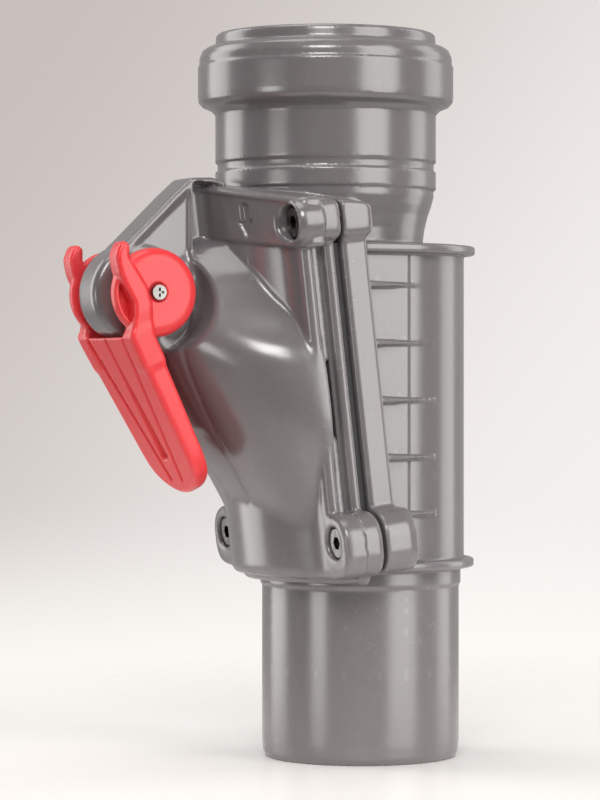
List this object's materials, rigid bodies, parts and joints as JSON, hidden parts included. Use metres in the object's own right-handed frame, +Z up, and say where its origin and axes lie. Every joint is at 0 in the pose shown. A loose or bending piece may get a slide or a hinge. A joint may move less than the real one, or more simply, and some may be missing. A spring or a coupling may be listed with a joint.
{
  "type": "backwater valve",
  "caption": "Backwater valve for a 50 mm waste pipe: push-fit socket, plain spigot, hinged flap under a bolted domed cover, and a red lever that locks the flap shut.",
  "frame": {"origin": "centre of the spigot's end face, where the outlet bore ends", "axes": "+Z up the pipe from the spigot to the socket, +X towards the access cover and lever, +Y completes the right-handed frame"},
  "size_m": [0.1045, 0.077, 0.1827],
  "materials": {
    "grey_pp": "semi-gloss moulded",
    "grey_pp_inner": "satin moulded",
    "black_rubber": "matte",
    "steel": "nickel bright",
    "brass": "machined",
    "white_pom": "satin",
    "red_plastic": "semi-gloss moulded"
  },
  "bodies": {
    "housing": {"valve_body": "grey_pp", "socket_seal": "black_rubber", "frame_gasket": "black_rubber", "flap_frame": "grey_pp", "cover_seal": "black_rubber", "cover": "grey_pp", "cover_screws": "steel", "threaded_inserts": "brass", "hinge_pin": "steel", "pin_clips": "steel", "spindle_bushes": "white_pom", "spindle_o_rings": "black_rubber", "plunger_guide": "white_pom", "plunger_spring": "steel"},
    "flap_assembly": {"flap": "grey_pp_inner", "flap_seal": "black_rubber", "seal_retainer": "grey_pp_inner", "retainer_screw": "steel"},
    "lever_assembly": {"lever": "red_plastic", "lever_screws": "steel", "spindle": "steel", "lock_cam": "white_pom", "cam_pin": "steel"},
    "latch": {"lock_plunger": "white_pom", "plunger_clip": "steel"}
  },
  "joints": [
    {"name": "flap_swing", "type": "hinge", "parent": "housing", "child": "flap_assembly", "pos_m": [0.0356, 0, 0.1205], "axis": [0, 1, 0], "range_deg": [0, 91]},
    {"name": "lever_turn", "type": "hinge", "parent": "housing", "child": "lever_assembly", "pos_m": [0.0631, 0, 0.1166], "axis": [0, -1, 0], "range_deg": [0, 126]},
    {"name": "latch_slide", "type": "slide", "parent": "housing", "child": "latch", "axis": [-0.9563, 0, 0.2924], "range_m": [0, 0.00581], "deforming": ["plunger_spring"]}
  ],
  "couplings": [
    {"joint": "lever_turn", "follows": "latch_slide", "rad_per_m": 377.78}
  ]
}
